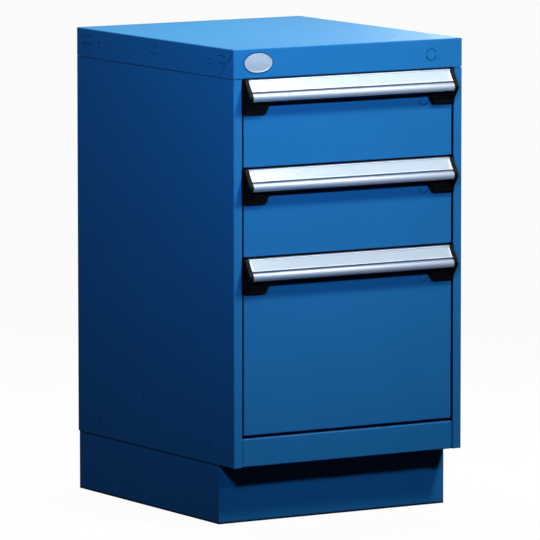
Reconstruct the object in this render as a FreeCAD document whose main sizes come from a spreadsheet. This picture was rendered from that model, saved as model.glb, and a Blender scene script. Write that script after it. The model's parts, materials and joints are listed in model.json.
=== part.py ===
import FreeCAD, Part
import math
import os
import Sketcher
from FreeCAD import Vector

# A compact three-drawer steel cabinet on a recessed base, in millimetres.
# +X is to the right of someone facing it, -Y is its front, +Z is up. The origin is on the
# floor, in the middle of the box that the whole cabinet fills with its drawers closed.

# Driving sizes: name, value, what it measures
SIZES = [
    ("cabinet_width", 458.8, "over the side panels"),
    ("cabinet_depth", 533.4, "housing, front plane to rear"),
    ("base_height", 103.2, "floor to the underside of the housing"),
    ("lower_zone", 50.8, "underside of the housing to the lowest drawer line"),
    ("upper_zone", 52.4, "highest drawer line to the top of the lid"),
    ("drawer_1_height", 152.4, "drawer line to drawer line, top drawer"),
    ("drawer_2_height", 152.4, "middle drawer"),
    ("drawer_3_height", 304.8, "bottom drawer"),
    ("housing_sheet", 1.5, "sheet of the housing"),
    ("bend_radius", 2, "outside radius of the housing's bends"),
    ("post_face", 17.5, "width of the narrow face beside the drawers"),
    ("post_lip", 16, "depth of the lip behind that face"),
    ("rear_return", 20, "width of the side panel's rear return"),
    ("floor_flange", 25, "width of the side panel's bottom flange"),
    ("lid_skirt", 50.2, "height of the lid's skirts"),
    ("seam_gap", 1, "gap under the lid's skirts"),
    ("nest_gap", 0.2, "slack where one sheet nests in another"),
    ("lid_hem", 14, "return under the lid's front skirt"),
    ("ear_gap", 1.2, "mitred slit at the lid's corners, measured level"),
    ("ear_start", 4, "top of that slit behind the lid's corner"),
    ("ear_front_drop", 7, "and below the lid's top, at the front"),
    ("ear_rear_drop", 4, "and at the rear"),
    ("cross_rail_flange", 26, "depth of the front cross rail's flange"),
    ("rail_gap", 2.2, "drawer line down to the bottom front rail"),
    ("rail_flange", 25, "depth of the bottom front rail's flanges"),
    ("rail_bend", 3, "outside radius along the bottom front rail's top"),
    ("face_setback", 1.5, "front plane back to the faces of the rail and the drawer fronts"),
    ("rail_seam", 0.2, "gap at each end of the bottom front rail"),
    ("base_sheet", 2, "sheet of the base"),
    ("toe_recess", 53, "front plane back to the base"),
    ("base_inset", 2, "housing sides and rear in to the base"),
    ("base_flange", 25, "width of the base's top flanges"),
    ("base_hem", 15, "width of the base's bottom hems"),
    ("gusset_size", 90, "side of a corner gusset"),
    ("gusset_short", 30, "its short edges"),
    ("gusset_sheet", 4, "its thickness"),
    ("anchor_inset", 35, "base wall to the centre of an anchor hole"),
    ("anchor_hole", 13, "diameter of an anchor hole"),
    ("upright_depth", 15.5, "side panel in to the face of a slotted upright"),
    ("upright_web", 36, "width of an upright's face"),
    ("upright_toe", 9, "width of its toes on the side panel"),
    ("upright_setback", 18, "front plane and rear in to the uprights"),
    ("upright_drop", 1, "highest drawer line down to their tops"),
    ("slot_pitch", 25.4, "from slot to slot"),
    ("slot_slack", 1, "room round a hook in its slot"),
    ("slot_margin", 4, "least distance from a drawer line to a slot's centre"),
    ("hook_height", 8, "neck of a hook"),
    ("hook_nose", 3, "drop of its nose"),
    ("hook_sheet", 3, "its thickness"),
    ("hook_grip", 1.6, "its nose, front to back"),
    ("slide_setback", 20, "front plane back to the slides"),
    ("slide_stop", 33.4, "rear plane forward to the slides' ends"),
    ("slide_depth", 12.7, "upright to tray"),
    ("slide_height", 46, "height of the fixed channel"),
    ("slide_rise", 50.8, "drawer line up to the middle of its slides"),
    ("slide_gap", 0.3, "running clearance in the slides"),
    ("slide_catch", 3, "how far one member's lip holds the next"),
    ("channel_sheet", 1.5, "sheet of the fixed channel"),
    ("rail_sheet", 1.2, "sheet of the two moving rails"),
    ("drawer_sheet", 1.2, "sheet of the drawers"),
    ("front_bend", 2, "outside radius along the drawer front's edges"),
    ("side_gap", 2.2, "drawer front to the edge of the opening"),
    ("front_gap", 2.7, "drawer line up to the front's lower edge"),
    ("front_depth", 13.2, "drawer front's face back to the tray"),
    ("recess_drop", 47, "upper drawer line down to the front's face"),
    ("handle_drop", 0.5, "upper drawer line down to the handle"),
    ("tray_rear_gap", 11.2, "back panel forward to the tray's rear rim"),
    ("tray_rise", 8, "drawer line up to the tray's floor"),
    ("tray_drop", 20, "upper drawer line down to the tray's rim"),
    ("tray_rim", 6, "width of the tray's outward rim"),
    ("handle_reach", 21, "how far the handle's caps stand out"),
    ("handle_wall", 1.8, "wall of the handle"),
    ("handle_mount", 23.5, "height of the flange that holds it"),
    ("brow_out", 4, "front plane out to the top of the sloping face"),
    ("face_out", 15.8, "front plane out to its foot"),
    ("face_drop", 19.7, "upper drawer line down to its foot"),
    ("groove_deep", 1.3, "groove under the sloping face"),
    ("groove_high", 3.5, "its height"),
    ("lip_out", 16.4, "front plane out to the top of the lip"),
    ("lip_end", 18.4, "front plane out to its bottom"),
    ("lip_drop", 36.5, "upper drawer line down to its bottom"),
    ("lip_radius", 9, "curve of the lip"),
    ("cap_width", 8, "width of an end cap's wall"),
    ("cap_brow", 3.2, "front plane out to the cap's top corner"),
    ("cap_nose_top", 28.5, "upper drawer line down to the cap's nose"),
    ("cap_nose_bottom", 33, "and to the nose's lower end"),
    ("cap_nose_round", 7, "radius at the nose's upper end"),
    ("cap_chin_round", 5, "radius at its lower end"),
    ("cap_neck_round", 8, "radius in the neck"),
    ("cap_foot_out", 5.8, "how far the cap's foot stands out"),
    ("cap_neck_drop", 53.3, "upper drawer line down to the cap's neck"),
    ("cap_foot_top", 41, "and to the top of its foot"),
    ("cap_foot_drop", 58.6, "and to its lower edge"),
    ("cap_foot_width", 40, "foot, along its lower edge"),
    ("cap_foot_slant", 9, "how much longer its top edge is"),
    ("cap_chamfer", 0.8, "chamfer along the cap's outer edges"),
    ("label_edge", 1.6, "edge of the sloping face beside the label"),
    ("label_catch", 0.8, "undercut that holds the cover"),
    ("label_deep", 1.5, "depth of the label channel"),
    ("label_lip", 0.5, "thickness of its edges over the undercut"),
    ("label_slack", 0.2, "room round the card and cover"),
    ("label_end", 5, "cap to the end of the card"),
    ("card_thickness", 0.3, "label card"),
    ("cover_thickness", 0.6, "clear cover"),
    ("knockout_slot", 1.2, "width of the slots round a knockout"),
    ("top_knockout", 10.5, "diameter, lid top"),
    ("top_knockout_x_1", 152.4, "pair with slots front and back, from the middle"),
    ("top_knockout_y_1", 101.6, "and from the front and rear"),
    ("top_knockout_x_2", 101.6, "pair with slots left and right, from the middle"),
    ("top_knockout_y_2", 50.8, "and from the front and rear"),
    ("skirt_knockout", 9.4, "diameter, lid sides"),
    ("skirt_knockout_y", 188, "from the middle of the depth"),
    ("skirt_knockout_drop", 25.4, "below the top"),
    ("skirt_window_wide", 18, "rectangular knockout, lid sides"),
    ("skirt_window_high", 13, "its height"),
    ("skirt_window_y", 229, "outer two from the middle of the depth"),
    ("skirt_window_drop", 19.6, "below the top"),
    ("skirt_window_arm", 7.5, "arm of its corner slots, along"),
    ("skirt_window_leg", 2.5, "and up"),
    ("side_knockout", 8, "diameter, side panels"),
    ("side_knockout_y_1", 188, "lower pair from the middle of the depth"),
    ("side_knockout_z_1", 26, "above the underside of the housing"),
    ("side_knockout_y_2", 38.1, "upper pair from the middle of the depth"),
    ("side_knockout_z_2", 89, "above the underside of the housing"),
    ("lock_radius", 10, "knockout for a lock"),
    ("lock_flat", 9.1, "its centre to each flat side"),
    ("lock_tab", 1.6, "half the height of the tabs that hold it"),
    ("lid_lock_x", 166.4, "from the middle to the lid's lock knockout"),
    ("lid_lock_drop", 26.6, "top of the lid down to it"),
    ("drawer_lock_x", 151.3, "from the middle to a drawer's lock knockout"),
    ("drawer_lock_drop", 50, "upper drawer line down to it"),
]

doc = FreeCAD.newDocument("DrawerCabinet")
sheet = doc.addObject("Spreadsheet::Sheet", "Sizes")


class Size:
    """A length: its value now, and the expression that ties it to the sheet."""

    def __init__(self, value, text):
        self.value = value
        self.text = text

    def joined(self, sign, other, value):
        return Size(value, "(%s %s %s)" % (self.text, sign, other.text))

    def __add__(self, other):
        other = as_size(other)
        return self.joined("+", other, self.value + other.value)

    def __sub__(self, other):
        other = as_size(other)
        return self.joined("-", other, self.value - other.value)

    def __mul__(self, other):
        other = as_size(other)
        return self.joined("*", other, self.value * other.value)

    def __truediv__(self, other):
        other = as_size(other)
        return self.joined("/", other, self.value / other.value)

    def __radd__(self, other):
        return as_size(other) + self

    def __rsub__(self, other):
        return as_size(other) - self

    def __rmul__(self, other):
        return as_size(other) * self

    def __neg__(self):
        return as_size(0) - self

    def root(self):
        return Size(math.sqrt(self.value), "sqrt(%s)" % self.text)

    def floor(self):
        return Size(math.floor(self.value), "floor(%s)" % self.text)


def as_size(number):
    return number if isinstance(number, Size) else Size(number, "(%r)" % number)


def bind(thing, path, size):
    thing.setExpression(path, as_size(size).text)


# One row of the sheet for each driving size: its meaning, its value and its name
sheet.set("A1", "size")
sheet.set("B1", "millimetres")
for row, (name, value, meaning) in enumerate(SIZES, start=2):
    sheet.set("A%d" % row, "%s: %s" % (name, meaning))
    sheet.set("B%d" % row, str(value))
    sheet.setAlias("B%d" % row, name)
doc.recompute()

S = type("Sizes", (), {name: Size(value, "Sizes.%s" % name) for name, value, _ in SIZES})

# Planes and levels that several pieces share
half_width = S.cabinet_width / 2
front = -S.cabinet_depth / 2
back = S.cabinet_depth / 2
face_plane = front + S.face_setback
inner_side = half_width - S.housing_sheet
opening = half_width - S.post_face
floor_line = S.base_height
line_3 = floor_line + S.lower_zone
line_2 = line_3 + S.drawer_3_height
line_1 = line_2 + S.drawer_2_height
line_0 = line_1 + S.drawer_1_height
top = line_0 + S.upper_zone
lid_edge = top - S.lid_skirt
seam_line = lid_edge - S.seam_gap
upright_face = inner_side - S.upright_depth
tray_side = upright_face - S.slide_depth
front_side = opening - S.side_gap
cap_inside = front_side - S.cap_width
slide_length = S.cabinet_depth - S.slide_setback - S.slide_stop
DRAWERS = [
    (1, S.drawer_1_height, line_1),
    (2, S.drawer_2_height, line_2),
    (3, S.drawer_3_height, line_3),
]
SIDES = [("left", -1), ("right", 1)]


def new_body(label, level=0):
    """A piece of the cabinet. Its own frame is in the middle of the housing, level above the floor."""
    body = doc.addObject("PartDesign::Body", label)
    body.Label = label
    bind(body, "Placement.Base.y", S.handle_reach / 2)
    bind(body, "Placement.Base.z", level)
    return body


def new_sketch(body, plane, at=0):
    """A sketch on a plane square to an axis. XZ's normal is -Y, so its offset is turned round."""
    support = next(f for f in body.Origin.OriginFeatures if f.Role == plane + "_Plane")
    sketch = body.newObject("Sketcher::SketchObject", body.Label + "_sketch")
    sketch.AttachmentSupport = [(support, "")]
    sketch.MapMode = "FlatFace"
    bind(sketch, ".AttachmentOffset.Base.z", -as_size(at) if plane == "XZ" else at)
    return sketch


def arc_between(start, end, radius):
    """The shorter arc from start to end, counter-clockwise for a positive radius."""
    chord = end - start
    half = chord.Length / 2
    left = Vector(-chord.y, chord.x, 0).normalize()
    if radius < 0:
        left = -left
    centre = (start + end) / 2 + left * math.sqrt(max(radius * radius - half * half, 0))
    first, last = (start, end) if radius > 0 else (end, start)
    angles = [math.atan2(p.y - centre.y, p.x - centre.x) for p in (first, last)]
    circle = Part.Circle(centre, Vector(0, 0, 1), abs(radius))
    return Part.ArcOfCircle(circle, angles[0], angles[1])


def draw(sketch, corners):
    """A closed loop. A corner is (x, y), or (x, y, radius) where an arc leaves it."""
    corners = [tuple(as_size(number) for number in corner) for corner in corners]
    points = [Vector(corner[0].value, corner[1].value, 0) for corner in corners]
    base = sketch.GeometryCount
    constraints = []
    bound = []
    starts = []
    ends = []
    for i, corner in enumerate(corners):
        start = points[i]
        end = points[(i + 1) % len(points)]
        clockwise = len(corner) == 3 and corner[2].value < 0
        starts.append((base + i, 2 if clockwise else 1))
        ends.append((base + i, 1 if clockwise else 2))
        if len(corner) == 3:
            sketch.addGeometry(arc_between(start, end, corner[2].value), False)
        else:
            sketch.addGeometry(Part.LineSegment(start, end), False)
    for i, corner in enumerate(corners):
        following = starts[(i + 1) % len(corners)]
        constraints.append(Sketcher.Constraint("Coincident", *ends[i], *following))
        for kind, number in (("DistanceX", corner[0]), ("DistanceY", corner[1])):
            bound.append((len(constraints), number))
            constraints.append(Sketcher.Constraint(kind, -1, 1, *starts[i], number.value))
        if len(corner) == 3:
            radius = corner[2] if corner[2].value > 0 else -corner[2]
            bound.append((len(constraints), radius))
            constraints.append(Sketcher.Constraint("Radius", base + i, radius.value))
    first = sketch.ConstraintCount
    sketch.addConstraint(constraints)
    for index, number in bound:
        bind(sketch, "Constraints[%d]" % (first + index), number)


def draw_circle(sketch, x, y, diameter):
    x, y, diameter = as_size(x), as_size(y), as_size(diameter)
    centre = Vector(x.value, y.value, 0)
    index = sketch.addGeometry(Part.Circle(centre, Vector(0, 0, 1), diameter.value / 2), False)
    first = sketch.ConstraintCount
    sketch.addConstraint([
        Sketcher.Constraint("DistanceX", -1, 1, index, 3, x.value),
        Sketcher.Constraint("DistanceY", -1, 1, index, 3, y.value),
        Sketcher.Constraint("Diameter", index, diameter.value),
    ])
    for offset, number in enumerate((x, y, diameter)):
        bind(sketch, "Constraints[%d]" % (first + offset), number)


def rectangle(x_low, x_high, y_low, y_high):
    return [(x_low, y_low), (x_high, y_low), (x_high, y_high), (x_low, y_high)]


def volume_of(body):
    tip = body.Tip
    return tip.Shape.Volume if tip is not None and not tip.Shape.isNull() else 0


def settle(body, feature, before, grows):
    """Rebuilds after a feature, and stops if it did nothing or the wrong thing."""
    doc.recompute()
    body.Tip = feature
    change = volume_of(body) - before
    if not feature.isValid() or (change <= 0 if grows else change >= 0):
        raise RuntimeError("%s of %s changes its volume by %g" % (feature.Name, body.Label, change))
    return feature


def pad(body, sketch, length, flip=False, centred=False):
    before = volume_of(body)
    feature = body.newObject("PartDesign::Pad", body.Label + "_pad")
    feature.Profile = sketch
    feature.SideType = "Symmetric" if centred else "One side"
    feature.Reversed = flip
    bind(feature, "Length", length)
    return settle(body, feature, before, True)


def pocket(body, sketch, length, flip=False, centred=False):
    before = volume_of(body)
    feature = body.newObject("PartDesign::Pocket", body.Label + "_pocket")
    feature.Profile = sketch
    feature.SideType = "Symmetric" if centred else "One side"
    feature.Reversed = flip
    bind(feature, "Length", length)
    return settle(body, feature, before, False)


def mirror(body, feature, plane, grows=False):
    before = volume_of(body)
    copy = body.newObject("PartDesign::Mirrored", body.Label + "_mirror")
    copy.Originals = [feature]
    support = next(f for f in body.Origin.OriginFeatures if f.Role == plane + "_Plane")
    copy.MirrorPlane = (support, [""])
    return settle(body, copy, before, grows)


def line_edges(feature, axis, places):
    """Names of a feature's straight edges along an axis that pass through the given places."""
    others = [i for i in range(3) if i != axis]
    names = []
    for number, edge in enumerate(feature.Shape.Edges, start=1):
        ends = [vertex.Point for vertex in edge.Vertexes]
        if len(ends) != 2 or edge.Curve.TypeId != "Part::GeomLine":
            continue
        if any(abs(ends[0][i] - ends[1][i]) > 1e-6 for i in others):
            continue
        here = [ends[0][i] for i in others]
        for place in places:
            if all(abs(here[k] - as_size(place[k]).value) < 1e-4 for k in range(2)):
                names.append("Edge%d" % number)
    return names


def fillet(body, feature, names, radius, wanted):
    if len(names) != wanted:
        raise RuntimeError("%s has %d edges to round, not %d" % (body.Label, len(names), wanted))
    bend = body.newObject("PartDesign::Fillet", body.Label + "_fillet")
    bend.Base = (feature, names)
    bind(bend, "Radius", radius)
    doc.recompute()
    body.Tip = bend
    if not bend.isValid():
        raise RuntimeError("a fillet of %s failed" % body.Label)
    return bend


def chamfer(body, feature, names, width):
    if not names:
        raise RuntimeError("%s has no edges to chamfer" % body.Label)
    cut = body.newObject("PartDesign::Chamfer", body.Label + "_chamfer")
    cut.Base = (feature, names)
    bind(cut, "Size", width)
    doc.recompute()
    body.Tip = cut
    if not cut.isValid():
        raise RuntimeError("a chamfer of %s failed" % body.Label)
    return cut


def draw_arc_slot(sketch, x, y, diameter, middle, spread):
    """One curved slot of a round knockout, in degrees about its centre."""
    outer = diameter / 2 + S.knockout_slot / 2
    inner = diameter / 2 - S.knockout_slot / 2
    low = math.radians(middle - spread)
    high = math.radians(middle + spread)
    draw(sketch, [
        (x + outer * math.cos(low), y + outer * math.sin(low), outer),
        (x + outer * math.cos(high), y + outer * math.sin(high)),
        (x + inner * math.cos(high), y + inner * math.sin(high), -inner),
        (x + inner * math.cos(low), y + inner * math.sin(low)),
    ])


def draw_knockout(sketch, x, y, diameter, middle, spread=42):
    """A round knockout: two curved slots, opposite each other."""
    draw_arc_slot(sketch, x, y, diameter, middle, spread)
    draw_arc_slot(sketch, x, y, diameter, middle + 180, spread)


def draw_lock_half(sketch, x, z, turn):
    """Half of the slot round a lock's knockout: a round end between two flat sides."""
    outer = S.lock_radius + S.knockout_slot / 2
    inner = S.lock_radius - S.knockout_slot / 2
    wide = S.lock_flat + S.knockout_slot / 2
    narrow = S.lock_flat - S.knockout_slot / 2
    wide_rise = (outer * outer - wide * wide).root()
    narrow_rise = (inner * inner - narrow * narrow).root()
    draw(sketch, [
        (x + turn * wide, z + turn * S.lock_tab),
        (x + turn * wide, z + turn * wide_rise, outer),
        (x - turn * wide, z + turn * wide_rise),
        (x - turn * wide, z + turn * S.lock_tab),
        (x - turn * narrow, z + turn * S.lock_tab),
        (x - turn * narrow, z + turn * narrow_rise, -inner),
        (x + turn * narrow, z + turn * narrow_rise),
        (x + turn * narrow, z + turn * S.lock_tab),
    ])


def side_panel(name, side):
    """One sheet: the outer wall, the narrow face beside the drawers and its lip, a rear return,
    a bottom flange, and a joggled strip along the top that the lid's skirt closes over."""
    body = new_body(name)
    rear_edge = half_width - S.rear_return
    plan = new_sketch(body, "XY", floor_line)
    draw(plan, [
        (side * opening, front + S.post_lip),
        (side * opening, front),
        (side * half_width, front),
        (side * half_width, back),
        (side * rear_edge, back),
        (side * rear_edge, back - S.housing_sheet),
        (side * inner_side, back - S.housing_sheet),
        (side * inner_side, front + S.housing_sheet),
        (side * (opening + S.housing_sheet), front + S.housing_sheet),
        (side * (opening + S.housing_sheet), front + S.post_lip),
    ])
    wall = pad(body, plan, seam_line - floor_line)
    outside = [(side * opening, front), (side * half_width, front), (side * half_width, back)]
    wall = fillet(body, wall, line_edges(wall, 2, outside), S.bend_radius, 3)
    inside = [
        (side * (opening + S.housing_sheet), front + S.housing_sheet),
        (side * inner_side, front + S.housing_sheet),
        (side * inner_side, back - S.housing_sheet),
    ]
    wall = fillet(body, wall, line_edges(wall, 2, inside), S.bend_radius - S.housing_sheet, 3)

    flange = new_sketch(body, "XY", floor_line)
    draw(flange, [
        (side * inner_side, front + S.housing_sheet),
        (side * inner_side, back - S.housing_sheet),
        (side * (half_width - S.floor_flange), back - S.housing_sheet),
        (side * (half_width - S.floor_flange), front + S.rail_flange + S.seam_gap),
        (side * (opening + S.housing_sheet), front + S.rail_flange + S.seam_gap),
        (side * (opening + S.housing_sheet), front + S.housing_sheet),
    ])
    pad(body, flange, S.housing_sheet)

    # The joggle steps inwards by one sheet, so that the lid's skirt lies flush with the panel
    strip_out = inner_side - S.nest_gap
    strip_in = strip_out - S.housing_sheet
    joggle = new_sketch(body, "XZ", front + S.post_lip)
    draw(joggle, [
        (side * inner_side, seam_line - S.housing_sheet),
        (side * inner_side, seam_line),
        (side * strip_out, seam_line),
        (side * strip_out, top - S.housing_sheet),
        (side * strip_in, top - S.housing_sheet),
        (side * strip_in, seam_line - S.housing_sheet),
    ])
    pad(body, joggle, S.cabinet_depth - S.post_lip - 2 * S.housing_sheet, flip=True)

    knockouts = new_sketch(body, "YZ", side * half_width)
    draw_knockout(knockouts, -S.side_knockout_y_1, floor_line + S.side_knockout_z_1,
                  S.side_knockout, 90)
    draw_knockout(knockouts, -S.side_knockout_y_2, floor_line + S.side_knockout_z_2,
                  S.side_knockout, 90)
    punched = pocket(body, knockouts, S.housing_sheet, flip=side < 0)
    mirror(body, punched, "XZ")


def lid():
    """The top cover, one folded sheet. At each corner the front and rear skirts go on round
    as a triangular ear, and a mitred slit parts the ear from the side skirt."""
    body = new_body("top_cap")
    plan = new_sketch(body, "XY", lid_edge)
    draw(plan, rectangle(-half_width, half_width, front, back))
    block = pad(body, plan, S.lid_skirt)
    corners = [(x * half_width, y * back) for x in (-1, 1) for y in (-1, 1)]
    rounded = line_edges(block, 2, corners)
    rounded += line_edges(block, 0, [(front, top), (back, top)])
    rounded += line_edges(block, 1, [(-half_width, top), (half_width, top)])
    block = fillet(body, block, rounded, S.bend_radius, 8)
    hollow = new_sketch(body, "XY", lid_edge)
    draw(hollow, rectangle(-inner_side, inner_side, front + S.housing_sheet,
                           back - S.housing_sheet))
    pocket(body, hollow, S.lid_skirt - S.housing_sheet, flip=True)

    hem = new_sketch(body, "XY", lid_edge)
    draw(hem, rectangle(-inner_side, inner_side, front + S.housing_sheet, front + S.lid_hem))
    pad(body, hem, S.housing_sheet)

    slit = new_sketch(body, "YZ")
    for end, drop in ((-1, S.ear_front_drop), (1, S.ear_rear_drop)):
        start = end * (back - S.ear_start)
        finish = start - end * (S.lid_skirt + S.seam_gap - drop)
        draw(slit, [
            (start - S.ear_gap / 2, top - drop),
            (finish - S.ear_gap / 2, lid_edge - S.seam_gap),
            (finish + S.ear_gap / 2, lid_edge - S.seam_gap),
            (start + S.ear_gap / 2, top - drop),
        ])
    pocket(body, slit, 2 * S.cabinet_width, centred=True)

    tops = new_sketch(body, "XY", top)
    for x in (-1, 1):
        draw_knockout(tops, x * S.top_knockout_x_1, front + S.top_knockout_y_1, S.top_knockout, 90)
        draw_knockout(tops, x * S.top_knockout_x_2, front + S.top_knockout_y_2, S.top_knockout, 0)
    mirror(body, pocket(body, tops, S.housing_sheet), "XZ")

    rounds = new_sketch(body, "YZ")
    draw_knockout(rounds, -S.skirt_knockout_y, top - S.skirt_knockout_drop, S.skirt_knockout, 90)
    mirror(body, pocket(body, rounds, 2 * S.cabinet_width, centred=True), "XZ")

    windows = new_sketch(body, "YZ")
    for place in (-S.skirt_window_y, 0, S.skirt_window_y):
        for along in (-1, 1):
            for up in (-1, 1):
                draw_window_corner(windows, place, top - S.skirt_window_drop, along, up)
    pocket(body, windows, 2 * S.cabinet_width, centred=True)

    lock = new_sketch(body, "XZ", front)
    for turn in (-1, 1):
        draw_lock_half(lock, S.lid_lock_x, top - S.lid_lock_drop, turn)
    pocket(body, lock, S.housing_sheet)


def draw_window_corner(sketch, y, z, along, up):
    """The L-shaped slot at one corner of a rectangular knockout."""
    far_y = y + along * (S.skirt_window_wide / 2 + S.knockout_slot / 2)
    near_y = y + along * (S.skirt_window_wide / 2 - S.knockout_slot / 2)
    far_z = z + up * (S.skirt_window_high / 2 + S.knockout_slot / 2)
    near_z = z + up * (S.skirt_window_high / 2 - S.knockout_slot / 2)
    draw(sketch, [
        (far_y, far_z),
        (far_y - along * S.skirt_window_arm, far_z),
        (far_y - along * S.skirt_window_arm, near_z),
        (near_y, near_z),
        (near_y, far_z - up * S.skirt_window_leg),
        (far_y, far_z - up * S.skirt_window_leg),
    ])


def back_panel():
    body = new_body("back_panel")
    half = inner_side - (S.bend_radius - S.housing_sheet)
    plan = new_sketch(body, "XY", floor_line + S.housing_sheet)
    draw(plan, rectangle(-half, half, back - 2 * S.housing_sheet, back - S.housing_sheet))
    pad(body, plan, top - floor_line - 2 * S.housing_sheet)


def front_cross_rail():
    """The angle behind the lid's front skirt that ties the side panels together."""
    body = new_body("front_cross_rail")
    web = front + S.lid_hem
    half = inner_side - S.nest_gap - S.housing_sheet
    section = new_sketch(body, "YZ")
    draw(section, [
        (web, seam_line),
        (web + S.cross_rail_flange, seam_line),
        (web + S.cross_rail_flange, seam_line + S.housing_sheet),
        (web + S.housing_sheet, seam_line + S.housing_sheet),
        (web + S.housing_sheet, top - S.housing_sheet),
        (web, top - S.housing_sheet),
    ])
    pad(body, section, 2 * half, centred=True)


def bottom_front_rail():
    """The channel across the front under the lowest drawer, in line with the drawers' faces."""
    body = new_body("bottom_front_rail")
    rail_top = line_3 - S.rail_gap
    section = new_sketch(body, "YZ")
    draw(section, [
        (face_plane, floor_line),
        (front + S.rail_flange, floor_line),
        (front + S.rail_flange, floor_line + S.housing_sheet),
        (face_plane + S.housing_sheet, floor_line + S.housing_sheet),
        (face_plane + S.housing_sheet, rail_top - S.housing_sheet),
        (front + S.rail_flange, rail_top - S.housing_sheet),
        (front + S.rail_flange, rail_top),
        (face_plane, rail_top),
    ])
    channel = pad(body, section, 2 * (opening - S.rail_seam), centred=True)
    channel = fillet(body, channel, line_edges(channel, 0, [(face_plane, rail_top)]), S.rail_bend, 1)
    inner = [(face_plane + S.housing_sheet, rail_top - S.housing_sheet)]
    channel = fillet(body, channel, line_edges(channel, 0, inner), S.rail_bend - S.housing_sheet, 1)
    fillet(body, channel, line_edges(channel, 0, [(face_plane, floor_line)]), S.bend_radius, 1)


def floor_pan():
    body = new_body("floor_pan")
    plan = new_sketch(body, "XY", floor_line + S.housing_sheet)
    draw(plan, rectangle(-inner_side, inner_side, front + S.post_lip, back - 2 * S.housing_sheet))
    pad(body, plan, S.housing_sheet)


def upright_centre():
    """From the middle of the depth to the slots of the front and rear uprights."""
    return back - S.upright_setback - S.upright_toe - S.upright_web / 2


def first_slot():
    """The lowest slot above a drawer line. The slides hook half a pitch each side of their middle."""
    steps = (S.slide_rise - S.slot_pitch / 2 - S.slot_margin) / S.slot_pitch
    return S.slide_rise - S.slot_pitch / 2 - steps.floor() * S.slot_pitch


def upright(name, side, end):
    """A slotted upright: a hat section whose toes lie on the side panel."""
    body = new_body(name)
    foot = floor_line + 2 * S.housing_sheet
    middle = end * upright_centre()
    web = S.upright_web / 2
    toe = web + S.upright_toe
    deep = upright_face + S.housing_sheet
    plan = new_sketch(body, "XY", foot)
    draw(plan, [
        (side * inner_side, middle - toe),
        (side * inner_side, middle - web + S.housing_sheet),
        (side * deep, middle - web + S.housing_sheet),
        (side * deep, middle + web - S.housing_sheet),
        (side * inner_side, middle + web - S.housing_sheet),
        (side * inner_side, middle + toe),
        (side * (inner_side - S.housing_sheet), middle + toe),
        (side * (inner_side - S.housing_sheet), middle + web),
        (side * upright_face, middle + web),
        (side * upright_face, middle - web),
        (side * (inner_side - S.housing_sheet), middle - web),
        (side * (inner_side - S.housing_sheet), middle - toe),
    ])
    pad(body, plan, line_0 - S.upright_drop - foot)

    slot_high = S.hook_height + S.hook_nose + S.slot_slack
    slot_half = S.hook_sheet / 2 + S.slot_slack / 2
    for number, height, line in DRAWERS:
        low = line + first_slot() - S.hook_height / 2
        slot = new_sketch(body, "YZ", side * upright_face)
        draw(slot, rectangle(middle - slot_half, middle + slot_half, low, low + slot_high))
        punched = pocket(body, slot, S.housing_sheet, flip=side > 0)
        before = volume_of(body)
        row = body.newObject("PartDesign::LinearPattern", "%s_slots_%d" % (name, number))
        row.Originals = [punched]
        row.Direction = (slot, ["V_Axis"])
        row.Mode = "Spacing"
        bind(row, "Offset", S.slot_pitch)
        bind(row, "Occurrences", ((height - first_slot() - S.slot_margin) / S.slot_pitch).floor() + 1)
        settle(body, row, before, False)


def base_wall_side(name, side):
    """A channel that stands on the floor, with its bottom hem cut back for the gussets."""
    body = new_body(name)
    outer = half_width - S.base_inset
    inner = outer - S.base_sheet
    low = front + S.toe_recess
    high = back - S.base_inset
    section = new_sketch(body, "XZ", low)
    draw(section, [
        (side * outer, 0),
        (side * outer, floor_line),
        (side * (outer - S.base_flange), floor_line),
        (side * (outer - S.base_flange), floor_line - S.base_sheet),
        (side * inner, floor_line - S.base_sheet),
        (side * inner, 0),
    ])
    pad(body, section, high - low, flip=True)
    margin = S.base_sheet + S.gusset_size + S.seam_gap
    hem = new_sketch(body, "XY")
    ends = sorted([side * inner, side * (outer - S.base_hem)], key=lambda size: size.value)
    draw(hem, rectangle(ends[0], ends[1], low + margin, high - margin))
    pad(body, hem, S.base_sheet)


def base_wall_end(name, end):
    """The front or rear wall of the base, between the side walls."""
    body = new_body(name)
    inner = half_width - S.base_inset - S.base_sheet
    face = (front + S.toe_recess) if end < 0 else (back - S.base_inset)
    flange_half = half_width - S.base_inset - S.base_flange - S.nest_gap
    under_flange = floor_line - S.base_sheet
    wall = new_sketch(body, "XZ", face)
    draw(wall, [
        (-inner, 0),
        (inner, 0),
        (inner, under_flange),
        (flange_half, under_flange),
        (flange_half, floor_line),
        (-flange_half, floor_line),
        (-flange_half, under_flange),
        (-inner, under_flange),
    ])
    pad(body, wall, S.base_sheet, flip=end < 0)
    flange = new_sketch(body, "XY", floor_line)
    draw(flange, rectangle(-flange_half, flange_half,
                           *in_order(face - end * S.base_sheet, face - end * S.base_flange)))
    pad(body, flange, S.base_sheet, flip=True)
    hem_half = inner - S.gusset_size - S.seam_gap
    hem = new_sketch(body, "XY")
    draw(hem, rectangle(-hem_half, hem_half,
                        *in_order(face - end * S.base_sheet, face - end * S.base_hem)))
    pad(body, hem, S.base_sheet)


def in_order(first, second):
    return (first, second) if first.value < second.value else (second, first)


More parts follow.
